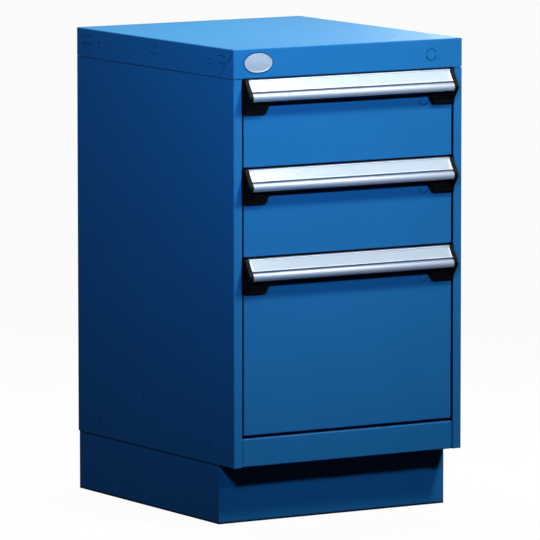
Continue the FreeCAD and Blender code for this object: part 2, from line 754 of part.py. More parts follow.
def base_gussets():
    """Four corner plates on the floor, each with a hole for a floor anchor."""
    body = new_body("base_gussets")
    body.AllowCompound = True
    plan = new_sketch(body, "XY")
    x_wall = half_width - S.base_inset - S.base_sheet
    for side in (-1, 1):
        for end, wall in ((-1, front + S.toe_recess), (1, back - S.base_inset)):
            x_corner = side * x_wall
            y_corner = wall - end * S.base_sheet
            draw(plan, [
                (x_corner, y_corner),
                (x_corner - side * S.gusset_size, y_corner),
                (x_corner - side * S.gusset_size, y_corner - end * S.gusset_short),
                (x_corner - side * S.gusset_short, y_corner - end * S.gusset_size),
                (x_corner, y_corner - end * S.gusset_size),
            ])
            draw_circle(plan, x_corner - side * S.anchor_inset, y_corner - end * S.anchor_inset,
                        S.anchor_hole)
    pad(body, plan, S.gusset_sheet)


# A slide's section is drawn from the upright inwards (u) and from its middle up (v)
slide_half = S.slide_height / 2
middle_web = S.channel_sheet + S.slide_gap
inner_lip = middle_web + S.rail_sheet + S.slide_gap
middle_lip = inner_lip + S.rail_sheet + S.slide_gap
channel_lip = middle_lip + S.rail_sheet + S.slide_gap
channel_edge = channel_lip + S.channel_sheet
middle_half = slide_half - S.channel_sheet - S.slide_gap
inner_half = middle_half - S.rail_sheet - S.slide_gap
inner_flange = inner_half - S.slide_catch - S.slide_gap


def folded(side, half_profile):
    """A section that is the same above and below its middle, given by its upper half."""
    upper = [(side * (upright_face - u), v) for u, v in half_profile]
    lower = [(x, -v) for x, v in reversed(upper)]
    return upper + lower


def slide_body(name, line):
    return new_body(name, line + S.slide_rise)


def slide_channel(name, side, line):
    """The fixed channel, which lies against the uprights."""
    body = slide_body(name, line)
    section = new_sketch(body, "XZ", front + S.slide_setback)
    draw(section, folded(side, [
        (0, slide_half),
        (channel_edge, slide_half),
        (channel_edge, middle_half - S.slide_catch),
        (channel_lip, middle_half - S.slide_catch),
        (channel_lip, slide_half - S.channel_sheet),
        (S.channel_sheet, slide_half - S.channel_sheet),
    ][::-1]))
    pad(body, section, slide_length, flip=True)


def slide_hooks():
    """The hooks welded to the channels, two at each end, that hang them in the uprights' slots."""
    body = new_body("slide_hooks")
    body.AllowCompound = True
    out = S.housing_sheet + S.nest_gap
    row = new_sketch(body, "XZ", upright_centre() + S.hook_sheet / 2)
    for number, height, line in DRAWERS:
        for side_name, side in SIDES:
            for step in (-1, 1):
                middle = line + S.slide_rise + step * S.slot_pitch / 2
                neck = middle - S.hook_height / 2
                draw(row, [
                    (side * upright_face, middle + S.hook_height / 2),
                    (side * upright_face, neck),
                    (side * (upright_face + out), neck),
                    (side * (upright_face + out), neck - S.hook_nose),
                    (side * (upright_face + out + S.hook_grip), neck - S.hook_nose),
                    (side * (upright_face + out + S.hook_grip), middle + S.hook_height / 2),
                ])
    rear = pad(body, row, S.hook_sheet)
    mirror(body, rear, "XZ", grows=True)


def middle_rail(name, side, line):
    """The rail between the channel and the drawer's own rail, held by the channel's lips."""
    body = slide_body(name, line)
    section = new_sketch(body, "XZ", front + S.slide_setback)
    draw(section, folded(side, [
        (middle_web + S.rail_sheet, middle_half - S.rail_sheet),
        (middle_lip, middle_half - S.rail_sheet),
        (middle_lip, inner_half - S.slide_catch),
        (middle_lip + S.rail_sheet, inner_half - S.slide_catch),
        (middle_lip + S.rail_sheet, middle_half),
        (middle_web, middle_half),
    ]))
    pad(body, section, slide_length, flip=True)


def drawer_rail(name, side, line):
    """The rail on the drawer's side, held by the middle rail's lips."""
    body = slide_body(name, line)
    section = new_sketch(body, "XZ", front + S.slide_setback)
    draw(section, folded(side, [
        (S.slide_depth - S.rail_sheet, inner_flange - S.rail_sheet),
        (inner_lip, inner_flange - S.rail_sheet),
        (inner_lip, inner_half),
        (inner_lip + S.rail_sheet, inner_half),
        (inner_lip + S.rail_sheet, inner_flange),
        (S.slide_depth, inner_flange),
    ]))
    pad(body, section, slide_length, flip=True)


def tray(number, height, line):
    """An open box of folded sheet with an outward rim on its sides and rear."""
    body = new_body("drawer_%d_tray" % number, line)
    near = front + S.front_depth
    far = back - 2 * S.housing_sheet - S.tray_rear_gap - S.tray_rim
    rim = height - S.tray_drop
    plan = new_sketch(body, "XY", S.tray_rise)
    draw(plan, rectangle(-tray_side, tray_side, near, far))
    pad(body, plan, rim - S.tray_rise)
    hollow = new_sketch(body, "XY", rim)
    draw(hollow, rectangle(-(tray_side - S.drawer_sheet), tray_side - S.drawer_sheet,
                           near + S.drawer_sheet, far - S.drawer_sheet))
    pocket(body, hollow, rim - S.tray_rise - S.drawer_sheet)
    edge = new_sketch(body, "XY", rim)
    draw(edge, [
        (-tray_side - S.tray_rim, near),
        (-tray_side, near),
        (-tray_side, far),
        (tray_side, far),
        (tray_side, near),
        (tray_side + S.tray_rim, near),
        (tray_side + S.tray_rim, far + S.tray_rim),
        (-tray_side - S.tray_rim, far + S.tray_rim),
    ])
    pad(body, edge, S.drawer_sheet, flip=True)


def drawer_front(number, height, line):
    """A shallow pan open at its back. Its top steps back to make the finger recess."""
    body = new_body("drawer_%d_front" % number, line)
    deep = front + S.front_depth
    wall = deep - S.drawer_sheet
    shelf = height - S.recess_drop
    section = new_sketch(body, "YZ")
    draw(section, [
        (face_plane, S.front_gap),
        (deep, S.front_gap),
        (deep, S.front_gap + S.drawer_sheet),
        (face_plane + S.drawer_sheet, S.front_gap + S.drawer_sheet),
        (face_plane + S.drawer_sheet, shelf - S.drawer_sheet),
        (deep, shelf - S.drawer_sheet),
        (deep, height - S.handle_drop),
        (wall, height - S.handle_drop),
        (wall, shelf),
        (face_plane, shelf),
    ])
    pad(body, section, 2 * front_side, centred=True)
    for side in (-1, 1):
        cheek = new_sketch(body, "YZ", side * front_side)
        draw(cheek, rectangle(face_plane + S.drawer_sheet, deep,
                              S.front_gap + S.drawer_sheet, shelf - S.drawer_sheet))
        panel = pad(body, cheek, S.drawer_sheet, flip=side > 0)
    edges = line_edges(panel, 0, [(face_plane, S.front_gap), (face_plane, shelf)])
    edges += line_edges(panel, 2, [(-front_side, face_plane), (front_side, face_plane)])
    fillet(body, panel, edges, S.front_bend, 4)
    lock = new_sketch(body, "XZ", face_plane)
    draw_lock_half(lock, S.drawer_lock_x, height - S.drawer_lock_drop, -1)
    pocket(body, lock, S.drawer_sheet)


def out_from_front(out, drop):
    """A point of the handle, from how far it stands out and how far it is below the line."""
    return (front - out, -drop)


def along_face(run, depth):
    """A point of the sloping face: run down it from its top, and depth under it."""
    across = S.face_out - S.brow_out
    down = S.face_drop - S.handle_drop
    length = (across * across + down * down).root()
    out = S.brow_out + run * across / length - depth * down / length
    drop = S.handle_drop + run * down / length + depth * across / length
    return out_from_front(out, drop)


def face_length():
    across = S.face_out - S.brow_out
    down = S.face_drop - S.handle_drop
    return (across * across + down * down).root()


def handle(number, line):
    """The full-width extrusion: mounting flange, top web, sloping face with its label channel,
    a groove, and the rounded lip that the fingers go behind."""
    body = new_body("drawer_%d_handle" % number, line)
    wall = S.handle_wall
    recess = S.front_depth - S.drawer_sheet
    long_edge = face_length()
    under = S.label_deep + wall * 0.75
    groove_floor = S.face_out - S.groove_deep
    groove_end = S.face_drop + S.groove_high
    section = new_sketch(body, "YZ")
    draw(section, [
        out_from_front(-recess, S.handle_drop),
        out_from_front(S.brow_out, S.handle_drop),
        along_face(S.label_edge, 0),
        along_face(S.label_edge, S.label_lip),
        along_face(S.label_edge - S.label_catch, S.label_lip),
        along_face(S.label_edge - S.label_catch, S.label_deep),
        along_face(long_edge - S.label_edge + S.label_catch, S.label_deep),
        along_face(long_edge - S.label_edge + S.label_catch, S.label_lip),
        along_face(long_edge - S.label_edge, S.label_lip),
        along_face(long_edge - S.label_edge, 0),
        out_from_front(S.face_out, S.face_drop),
        out_from_front(groove_floor, S.face_drop + S.groove_deep / 2),
        out_from_front(groove_floor, groove_end),
        (*out_from_front(S.lip_out, groove_end), S.lip_radius),
        out_from_front(S.lip_end, S.lip_drop),
        (*out_from_front(S.lip_end - wall, S.lip_drop), -(S.lip_radius - wall)),
        out_from_front(S.lip_out - wall, groove_end + wall),
        out_from_front(groove_floor - wall, groove_end + wall),
        along_face(long_edge, under),
        along_face(wall, under),
        out_from_front(S.brow_out - 2 * wall, S.handle_drop + wall),
        out_from_front(wall - recess, S.handle_drop + wall),
        out_from_front(wall - recess, S.handle_drop + S.handle_mount),
        out_from_front(-recess, S.handle_drop + S.handle_mount),
    ])
    pad(body, section, 2 * cap_inside, centred=True)


def label(name, line, low, high):
    """A strip in the label channel, between two depths under the sloping face."""
    body = new_body(name, line)
    first = S.label_edge - S.label_catch + S.label_slack
    last = face_length() - first
    section = new_sketch(body, "YZ")
    draw(section, [
        along_face(first, low),
        along_face(last, low),
        along_face(last, high),
        along_face(first, high),
    ])
    pad(body, section, 2 * (cap_inside - S.label_end), centred=True)


def handle_cap(name, side, line):
    """The moulded end cap: a wall that closes the handle's end and the recess behind it,
    and a foot that comes down over the drawer's face."""
    body = new_body(name, line)
    recess = S.front_depth - S.drawer_sheet
    section = new_sketch(body, "YZ", side * cap_inside)
    draw(section, [
        out_from_front(-recess, 0),
        out_from_front(S.cap_brow, 0),
        out_from_front(S.handle_reach, S.cap_nose_top),
        out_from_front(S.handle_reach, S.cap_nose_bottom),
        out_from_front(S.cap_foot_out, S.cap_neck_drop),
        out_from_front(S.cap_foot_out, S.cap_foot_drop),
        out_from_front(-S.face_setback, S.cap_foot_drop),
        out_from_front(-S.face_setback, S.recess_drop),
        out_from_front(-recess, S.recess_drop),
    ])
    cap = pad(body, section, S.cap_width, flip=side < 0)
    for out, drop, radius in (
        (S.handle_reach, S.cap_nose_top, S.cap_nose_round),
        (S.handle_reach, S.cap_nose_bottom, S.cap_chin_round),
        (S.cap_foot_out, S.cap_neck_drop, S.cap_neck_round),
    ):
        cap = fillet(body, cap, line_edges(cap, 0, [out_from_front(out, drop)]), radius, 1)
    foot = new_sketch(body, "XZ", face_plane)
    toe = front_side - S.cap_foot_width
    draw(foot, [
        (side * cap_inside, -S.cap_foot_top),
        (side * (toe - S.cap_foot_slant), -S.cap_foot_top),
        (side * toe, -S.cap_foot_drop),
        (side * cap_inside, -S.cap_foot_drop),
    ])
    cap = pad(body, foot, S.cap_foot_out + S.face_setback)
    chamfer(body, cap, rim_edges(cap, side, toe), S.cap_chamfer)


def rim_edges(cap, side, toe):
    """Names of the cap's outer edges in front of the drawer, and those round its foot's face."""
    names = []
    face = (front - S.cap_foot_out).value
    for number, edge in enumerate(cap.Shape.Edges, start=1):
        box = edge.BoundBox
        outside = side * (box.Center.x) - front_side.value
        on_wall = abs(outside) < 1e-4 and box.YMax < face_plane.value + 1e-4 and box.YMin < front.value - 1
        on_foot = abs(box.YMin - face) < 1e-4 and abs(box.YMax - face) < 1e-4
        inner = side * box.Center.x < cap_inside.value - 1e-4
        if on_wall or (on_foot and inner):
            names.append("Edge%d" % number)
    return names


for side_name, side in SIDES:
    side_panel("side_panel_%s" % side_name, side)
lid()
back_panel()
front_cross_rail()
bottom_front_rail()
floor_pan()
for end_name, end in (("front", -1), ("rear", 1)):
    for side_name, side in SIDES:
        upright("%s_upright_%s" % (end_name, side_name), side, end)
for side_name, side in SIDES:
    base_wall_side("base_%s" % side_name, side)
base_wall_end("base_front", -1)
base_wall_end("base_rear", 1)
base_gussets()
slide_hooks()
for number, height, line in DRAWERS:
    tray(number, height, line)
    drawer_front(number, height, line)
    handle(number, line + height)
    card_top = S.label_deep - S.card_thickness
    label("drawer_%d_label_card" % number, line + height, S.label_deep, card_top)
    label("drawer_%d_label_cover" % number, line + height, card_top, card_top - S.cover_thickness)
    for side_name, side in SIDES:
        handle_cap("drawer_%d_cap_%s" % (number, side_name), side, line + height)
        slide_channel("slide_%d_channel_%s" % (number, side_name), side, line)
        middle_rail("slide_%d_middle_%s" % (number, side_name), side, line)
        drawer_rail("drawer_%d_rail_%s" % (number, side_name), side, line)

doc.recompute()
failed = [thing.Name for thing in doc.Objects if {"Invalid", "Error"} & set(thing.State)]
if failed:
    raise RuntimeError("failed: " + ", ".join(failed))
pieces = [thing for thing in doc.Objects if thing.TypeId == "PartDesign::Body"]
for piece in pieces:
    if piece.Shape.isNull() or not piece.Shape.isValid():
        raise RuntimeError("%s has no sound shape" % piece.Label)
os.makedirs("parts", exist_ok=True)
for piece in pieces:
    piece.Shape.exportStep(os.path.join("parts", piece.Label + ".step"))
print("%d pieces" % len(pieces))
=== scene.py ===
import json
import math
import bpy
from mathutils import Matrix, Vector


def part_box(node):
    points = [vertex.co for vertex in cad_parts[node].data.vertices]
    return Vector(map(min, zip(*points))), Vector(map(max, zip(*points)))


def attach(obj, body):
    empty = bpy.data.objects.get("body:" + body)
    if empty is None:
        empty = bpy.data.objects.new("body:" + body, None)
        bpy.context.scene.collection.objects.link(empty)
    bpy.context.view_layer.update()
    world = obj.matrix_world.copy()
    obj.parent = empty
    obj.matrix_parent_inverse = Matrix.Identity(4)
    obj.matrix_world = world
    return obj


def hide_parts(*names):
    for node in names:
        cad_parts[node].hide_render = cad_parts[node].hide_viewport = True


bl_info = {
    "name": "Steel drawer cabinet",
    "version": (1, 0, 0),
    "blender": (4, 5, 0),
    "location": "3D View > Sidebar > Cabinet",
    "description": "Finishes and fine parts of a compact steel drawer cabinet round its packed solids",
    "category": "Object",
}

import bmesh
import bpy
from mathutils import Vector

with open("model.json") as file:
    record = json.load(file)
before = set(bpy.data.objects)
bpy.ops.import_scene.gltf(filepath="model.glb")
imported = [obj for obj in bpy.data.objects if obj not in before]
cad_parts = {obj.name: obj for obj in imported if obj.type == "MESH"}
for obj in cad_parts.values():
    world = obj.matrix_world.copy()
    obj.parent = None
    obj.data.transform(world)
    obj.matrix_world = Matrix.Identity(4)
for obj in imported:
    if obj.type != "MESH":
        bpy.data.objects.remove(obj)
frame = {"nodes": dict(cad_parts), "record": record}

DRAWERS = (1, 2, 3)
SIDES = ("left", "right")
MM = 0.001

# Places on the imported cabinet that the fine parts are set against, in metres
FRONT_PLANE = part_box("side_panel_left")[0].y
LID_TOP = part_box("top_cap")[1].z

# A handle's top below its drawer's line, and the bottom of its groove: levels below that
# line, and distances out from the front plane
HANDLE_DROP = 0.5 * MM
# Faces at the bottom of the groove, between these limits, take a darker copy of the metal: painted
# shade.
GROOVE_BELOW = (19.9 * MM, 23.3 * MM)
GROOVE_OUT = (14.2 * MM, 14.8 * MM)

# The middle of the blank plate, from the cabinet's middle and below the lid's top, and its form
PLATE_X = -180.6 * MM
PLATE_BELOW = 24.8 * MM
PLATE_THICK = 1.2 * MM
PLATE_CROWN = 0.5 * MM

# Roughness of the semi-gloss blue coat and of the matt grey one
BLUE_ROUGHNESS = 0.42
GREY_ROUGHNESS = 0.5

# Sockets of a Mix node that mixes colours
MIX_LOW = 6
MIX_HIGH = 7
MIX_OUT = 2


def drawer_line(number):
    """The level of the line above a drawer."""
    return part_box("drawer_%d_handle" % number)[1].z + HANDLE_DROP


# Materials

def linear(code):
    """A colour written as sRGB hex, as the linear values that the shaders take."""
    channels = [int(code[i:i + 2], 16) / 255 for i in (0, 2, 4)]
    curved = [c / 12.92 if c <= 0.04045 else ((c + 0.055) / 1.055) ** 2.4 for c in channels]
    return (*curved, 1.0)


def add(tree, kind, settings=None, links=None):
    """Adds a node, sets its properties, and fills its inputs with values or with other outputs."""
    node = tree.nodes.new("ShaderNode" + kind)
    for name, value in (settings or {}).items():
        setattr(node, name, value)
    for name, value in (links or {}).items():
        if isinstance(value, bpy.types.NodeSocket):
            tree.links.new(value, node.inputs[name])
        else:
            node.inputs[name].default_value = value
    return node


def new_material(name, code, metallic, roughness):
    """A material with its shader set to plain values, for patterns to be linked to."""
    material = bpy.data.materials.new(name)
    material.use_nodes = True
    tree = material.node_tree
    shader = tree.nodes["Principled BSDF"]
    shader.inputs["Base Color"].default_value = linear(code)
    shader.inputs["Metallic"].default_value = metallic
    shader.inputs["Roughness"].default_value = roughness
    return material, tree, shader


def cycles_per_metre(size_mm):
    """A noise's scale, for blotches about that size."""
    return 1 / (size_mm * MM)


def place(tree, stretch=(1, 1, 1)):
    """Coordinates in metres, the same for every piece, drawn out along an axis if asked."""
    where = add(tree, "TexCoord")
    mapping = add(tree, "Mapping", {}, {"Vector": where.outputs["Object"], "Scale": stretch})
    return mapping.outputs["Vector"]


def shade(tree, code_low, code_high, factor):
    """A colour between two, by a pattern."""
    mix = add(tree, "Mix", {"data_type": "RGBA"}, {"Factor": factor})
    mix.inputs[MIX_LOW].default_value = linear(code_low)
    mix.inputs[MIX_HIGH].default_value = linear(code_high)
    return mix.outputs[MIX_OUT]


def span(tree, value, low, high):
    """A pattern's 0 to 1, spread over another range."""
    return add(tree, "MapRange", {}, {"Value": value, "To Min": low, "To Max": high}).outputs[0]


def powder_coat(name, code, deep_code, seam_shade_code, roughness):
    """Polyester powder coat, sprayed and baked on steel: an even semi-gloss film whose
    orange peel, about 1.5 mm across, breaks up the reflections, with a faint cloudiness.
    Slots, seams and inner corners a few millimetres wide are drawn darker, towards the seam colour, by
    an occlusion mask: painted shade."""
    material, tree, shader = new_material(name, code, 0.0, roughness)
    shader.inputs["IOR"].default_value = 1.5
    shader.inputs["Specular IOR Level"].default_value = 0.1
    here = place(tree)
    peel = add(tree, "TexNoise", {}, {"Vector": here, "Scale": cycles_per_metre(1.5),
                                      "Detail": 2.0})
    cloud = add(tree, "TexNoise", {}, {"Vector": here, "Scale": cycles_per_metre(90),
                                       "Detail": 3.0})
    # Painted shade: within this distance of other surfaces, in slots, seams and inner corners, the
    # coat is drawn darker towards the seam colour.
    painted_shade_reach = 5 * MM
    shut = 0.78
    clear = 1.0
    openness = add(tree, "AmbientOcclusion", {"samples": 8}, {"Distance": painted_shade_reach})
    reach = add(tree, "MapRange", {}, {"Value": openness.outputs["AO"], "From Min": shut,
                                       "From Max": clear})
    film = shade(tree, seam_shade_code, code, reach.outputs[0])
    tree.links.new(shade(tree, deep_code, code, cloud.outputs["Fac"]), film.node.inputs[MIX_HIGH])
    tree.links.new(film, shader.inputs["Base Color"])
    tree.links.new(span(tree, cloud.outputs["Fac"], roughness - 0.04, roughness + 0.05),
                   shader.inputs["Roughness"])
    bump = add(tree, "Bump", {}, {"Height": peel.outputs["Fac"], "Strength": 0.12,
                                  "Distance": 0.02 * MM})
    tree.links.new(bump.outputs["Normal"], shader.inputs["Normal"])
    return material


def zinc_plated_steel(name, code, deep_code):
    """Roll-formed steel, bright zinc plated: a cool grey metal with soft spangle 4 mm across
    and fine rolling lines along its length."""
    material, tree, shader = new_material(name, code, 0.85, 0.42)
    spangle = add(tree, "TexVoronoi", {}, {"Vector": place(tree), "Scale": cycles_per_metre(4)})
    lines = add(tree, "TexNoise", {}, {"Vector": place(tree, (1, 0.02, 1)),
                                       "Scale": cycles_per_metre(0.8), "Detail": 2.0})
    tree.links.new(shade(tree, deep_code, code, spangle.outputs["Distance"]),
                   shader.inputs["Base Color"])
    tree.links.new(span(tree, lines.outputs["Fac"], 0.36, 0.5), shader.inputs["Roughness"])
    bump = add(tree, "Bump", {}, {"Height": lines.outputs["Fac"], "Strength": 0.1,
                                  "Distance": 0.02 * MM})
    tree.links.new(bump.outputs["Normal"], shader.inputs["Normal"])
    return material


def anodised_aluminium(name, code, deep_code):
    """An extrusion, etched and clear anodised: a pale satin metal with faint die lines
    along its length, drawn 0.6 mm apart so that they show."""
    material, tree, shader = new_material(name, code, 0.55, 0.52)
    lines = add(tree, "TexNoise", {}, {"Vector": place(tree, (0.01, 1, 1)),
                                       "Scale": cycles_per_metre(0.6), "Detail": 3.0})
    tree.links.new(shade(tree, deep_code, code, lines.outputs["Fac"]), shader.inputs["Base Color"])
    tree.links.new(span(tree, lines.outputs["Fac"], 0.48, 0.58), shader.inputs["Roughness"])
    bump = add(tree, "Bump", {}, {"Height": lines.outputs["Fac"], "Strength": 0.08,
                                  "Distance": 0.02 * MM})
    tree.links.new(bump.outputs["Normal"], shader.inputs["Normal"])
    return material


def moulded_nylon(name, code, pale_code):
    """Injection-moulded black nylon: a fine spark-eroded grain, drawn 0.7 mm across,
    that keeps it matt and catches a little light on its edges."""
    material, tree, shader = new_material(name, code, 0.0, 0.5)
    shader.inputs["IOR"].default_value = 1.52
    shader.inputs["Specular IOR Level"].default_value = 0.05
    grain = add(tree, "TexNoise", {}, {"Vector": place(tree), "Scale": cycles_per_metre(0.7),
                                       "Detail": 4.0})
    tree.links.new(shade(tree, code, pale_code, grain.outputs["Fac"]), shader.inputs["Base Color"])
    tree.links.new(span(tree, grain.outputs["Fac"], 0.42, 0.6), shader.inputs["Roughness"])
    bump = add(tree, "Bump", {}, {"Height": grain.outputs["Fac"], "Strength": 0.25,
                                  "Distance": 0.05 * MM})
    tree.links.new(bump.outputs["Normal"], shader.inputs["Normal"])
    return material


def label_paper(name, code, deep_code):
    """Uncoated label card: a matt, slightly cloudy white."""
    material, tree, shader = new_material(name, code, 0.0, 0.85)
    pulp = add(tree, "TexNoise", {}, {"Vector": place(tree), "Scale": cycles_per_metre(6),
                                      "Detail": 5.0})
    tree.links.new(shade(tree, deep_code, code, pulp.outputs["Fac"]), shader.inputs["Base Color"])
    return material


def clear_strip(name, code):
    """Extruded clear rigid vinyl, so thin that it hardly bends the light: a glossy film
    over the card, with faint draw lines."""
    material, tree, shader = new_material(name, code, 0.0, 0.15)
    shader.inputs["Alpha"].default_value = 0.2
    lines = add(tree, "TexNoise", {}, {"Vector": place(tree, (0.01, 1, 1)),
                                       "Scale": cycles_per_metre(2), "Detail": 1.0})
    tree.links.new(span(tree, lines.outputs["Fac"], 0.1, 0.22), shader.inputs["Roughness"])
    return material


# Meshes

def finish_node(node, material):
    """Gives a solid of the frame its finish."""
    part = frame["nodes"][node]
    part.data.materials.clear()
    part.data.materials.append(material)


def join_frame(piece, body, nodes=()):
    """Lets a piece ride on its body, and hides the solids that it stands for."""
    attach(piece, body)
    if nodes:
        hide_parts(*nodes)
    return piece


def new_piece(name, mesh_maker, material):
    """An object made from a bmesh, with its finish."""
    mesh = bpy.data.meshes.new(name)
    mesh_maker.to_mesh(mesh)
    mesh_maker.free()
    mesh.materials.append(material)
    piece = bpy.data.objects.new(name, mesh)
    bpy.context.scene.collection.objects.link(piece)
    return piece


def softened(name, node, radius, material):
    """A solid's form again, with its flat faces whole and its edges rounded."""
    work = bmesh.new()
    work.from_mesh(frame["nodes"][node].data)
    bmesh.ops.remove_doubles(work, verts=work.verts, dist=0.001 * MM)
    bmesh.ops.dissolve_limit(work, angle_limit=math.radians(0.5), verts=work.verts,
                             edges=work.edges)
    bmesh.ops.recalc_face_normals(work, faces=work.faces)
    piece = new_piece(name, work, material)
    rounding = piece.modifiers.new("rounded edges", "BEVEL")
    rounding.width = radius
    rounding.segments = 3
    rounding.limit_method = "ANGLE"
    rounding.angle_limit = math.radians(20)
    rounding.use_clamp_overlap = True
    rounding.harden_normals = True
    return piece


def oval_plate(name, centre, wide, high, thick, crown, material):
    """A pressed oval plate on a vertical face, with a raised border and a crowned middle."""
    steps = 96
    half_wide = wide / 2
    half_high = high / 2
    border = 1.6 * MM
    rounding = 0.35 * MM
    slope = 0.5 * MM
    sink = 0.35 * MM
    flat = 0.6 * MM
    field = thick - sink
    rings = [
        (0.0, 0.0),
        (0.0, thick * 0.7),
        (rounding, thick),
        (border - slope, thick),
        (border, field),
        (border + flat, field),
        (half_high * 0.45, field + crown * 0.7),
        (half_high * 0.8, field + crown),
    ]
    work = bmesh.new()
    loops = []
    for inset, out in rings:
        loop = []
        for step in range(steps):
            angle = 2 * math.pi * step / steps
            x = (half_wide - inset) * math.cos(angle)
            z = (half_high - inset) * math.sin(angle)
            loop.append(work.verts.new(centre + Vector((x, -out, z))))
        loops.append(loop)
    for low, high_loop in zip(loops, loops[1:]):
        for step in range(steps):
            after = (step + 1) % steps
            work.faces.new((low[step], low[after], high_loop[after], high_loop[step]))
    work.faces.new(loops[-1])
    work.faces.new(list(reversed(loops[0])))
    bmesh.ops.recalc_face_normals(work, faces=work.faces)
    for face in work.faces:
        face.smooth = len(face.verts) == 4
    return new_piece(name, work, material)


# Settings that a user would change

def colour(name, description, code):
    """A colour property whose default is an sRGB hex code."""
    return bpy.props.StringProperty(name=name, description=description, default=code)


class CABINET_PG_finish(bpy.types.PropertyGroup):
    """Colours of the finishes, as sRGB hex codes."""

    paint: colour("Paint", "Powder coat of the housing and the fronts", "2474B2")
    paint_deep: colour("Paint, deep", "The same coat where it is a shade deeper", "216EAB")
    # Painted shade: the near-black that the coat is drawn in where slots, seams and inner corners are
    # shaded.
    painted_seam_shade: colour("Paint in seams", "The same coat inside narrow slots and seams", "03060A")
    tray_paint: colour("Tray paint", "Powder coat of the trays", "9EA4A8")
    zinc: colour("Zinc", "Plated steel of the slides and uprights", "B9BEC2")
    aluminium: colour("Aluminium", "Anodised handle extrusions", "B4BED4")
    nylon: colour("Nylon", "Moulded end caps", "080808")
    card: colour("Card", "Label cards", "D0D7E2")
    plate: colour("Plate", "Blank plate on the lid", "CBD3E6")


class CABINET_PG_sizes(bpy.types.PropertyGroup):
    """Sizes of the fine parts."""

    grip_edge: bpy.props.FloatProperty(
        name="Handle edges", description="Rounding of the extrusion's edges",
        default=0.35 * MM, min=0.05 * MM, max=1.0 * MM, unit="LENGTH")
    cap_edge: bpy.props.FloatProperty(
        name="Cap edges", description="Rounding of the end caps' edges",
        default=0.4 * MM, min=0.05 * MM, max=1.0 * MM, unit="LENGTH")
    plate_wide: bpy.props.FloatProperty(
        name="Plate width", description="Width of the blank plate on the lid",
        default=55 * MM, min=20 * MM, max=80 * MM, unit="LENGTH")
    plate_high: bpy.props.FloatProperty(
        name="Plate height", description="Height of the blank plate on the lid",
        default=33 * MM, min=10 * MM, max=40 * MM, unit="LENGTH")


def watts(name, description, power):
    """A lamp's power, as a property."""
    return bpy.props.FloatProperty(name=name, description=description, default=power, min=0.0,
                                   unit="POWER")


class CABINET_PG_stage(bpy.types.PropertyGroup):
    """The studio."""

    key_power: watts("Key light", "Power of the soft box in front, above and to the right", 7.1)
    top_power: watts("Top light", "Power of the soft box overhead", 16.3)
    side_power: watts("Side light", "Power of the small soft box on the left", 12.0)
    front_power: watts("Front light", "Power of the small soft box in front on the right", 1.2)
    back_power: watts("Back light", "Power of the soft box behind on the right", 8.0)
    fill_strength: bpy.props.FloatProperty(
        name="Fill", description="Strength of the even light from all round", default=0.0,
        min=0.0, max=2.0)


class CabinetStep:
    """What the cabinet's operators share."""

    bl_options = {"REGISTER", "UNDO"}

    @property
    def finish(self):
        return bpy.context.scene.cabinet_finish

    @property
    def sizes(self):
        return bpy.context.scene.cabinet_sizes


class CABINET_OT_housing(CabinetStep, bpy.types.Operator):
    """Finishes the housing: side panels, lid, back, rails, floor, uprights and base."""

    bl_idname = "cabinet.housing"
    bl_label = "Housing"

    def execute(self, context):
        blue = powder_coat("blue_powder_coat", self.finish.paint, self.finish.paint_deep,
                           self.finish.painted_seam_shade, BLUE_ROUGHNESS)
        zinc = zinc_plated_steel("zinc_plated_uprights", self.finish.zinc, "A4AAAE")
        for node in frame["record"]["behaviour"]["bodies"]["housing"]:
            if "upright" in node:
                finish_node(node, zinc)
            elif not node.startswith("slide_"):
                finish_node(node, blue)
        return {"FINISHED"}


class CABINET_OT_slides(CabinetStep, bpy.types.Operator):
    """Finishes the three members of every slide."""

    bl_idname = "cabinet.slides"
    bl_label = "Slides"

    def execute(self, context):
        zinc = zinc_plated_steel("zinc_plated_slides", "C6CACD", "ADB3B7")
        for number in DRAWERS:
            for side in SIDES:
                finish_node("slide_%d_channel_%s" % (number, side), zinc)
                finish_node("slide_%d_middle_%s" % (number, side), zinc)
                finish_node("drawer_%d_rail_%s" % (number, side), zinc)
        return {"FINISHED"}


class CABINET_OT_drawers(CabinetStep, bpy.types.Operator):
    """Finishes the trays and the drawer fronts."""

    bl_idname = "cabinet.drawers"
    bl_label = "Trays and fronts"

    def execute(self, context):
        blue = powder_coat("blue_powder_coat_fronts", self.finish.paint, self.finish.paint_deep,
                           self.finish.painted_seam_shade, BLUE_ROUGHNESS)
        # Painted shade: 7A7F83 is the tray coat drawn darker in its inner corners and slots.
        grey = powder_coat("grey_powder_coat", self.finish.tray_paint, "989EA3", "7A7F83",
                           GREY_ROUGHNESS)
        for number in DRAWERS:
            finish_node("drawer_%d_front" % number, blue)
            finish_node("drawer_%d_tray" % number, grey)
        return {"FINISHED"}


class CABINET_OT_handles(CabinetStep, bpy.types.Operator):
    """Makes the handle extrusions with softened edges, and the groove's floor in a darker, matt copy
    of the metal: painted shade.
    """

    bl_idname = "cabinet.handles"
    bl_label = "Handles"

    def execute(self, context):
        metal = anodised_aluminium("anodised_aluminium", self.finish.aluminium, "ABB5CB")
        # Painted shade: the groove's floor, where the overhang shades it, is drawn in a darker copy of
        # the metal.
        matt = anodised_aluminium("anodised_aluminium_groove_painted_shade", "767D8C", "6A7180")
        for number in DRAWERS:
            node = "drawer_%d_handle" % number
            piece = softened("handle_extrusion_%d" % number, node, self.sizes.grip_edge, metal)
            piece.data.materials.append(matt)
            for face in piece.data.polygons:
                below = drawer_line(number) - face.center.z
                out = FRONT_PLANE - face.center.y
                at_groove = GROOVE_BELOW[0] < below < GROOVE_BELOW[1]
                if at_groove and GROOVE_OUT[0] < out < GROOVE_OUT[1]:
                    face.material_index = 1
            join_frame(piece, "drawer_%d" % number, [node])
        return {"FINISHED"}


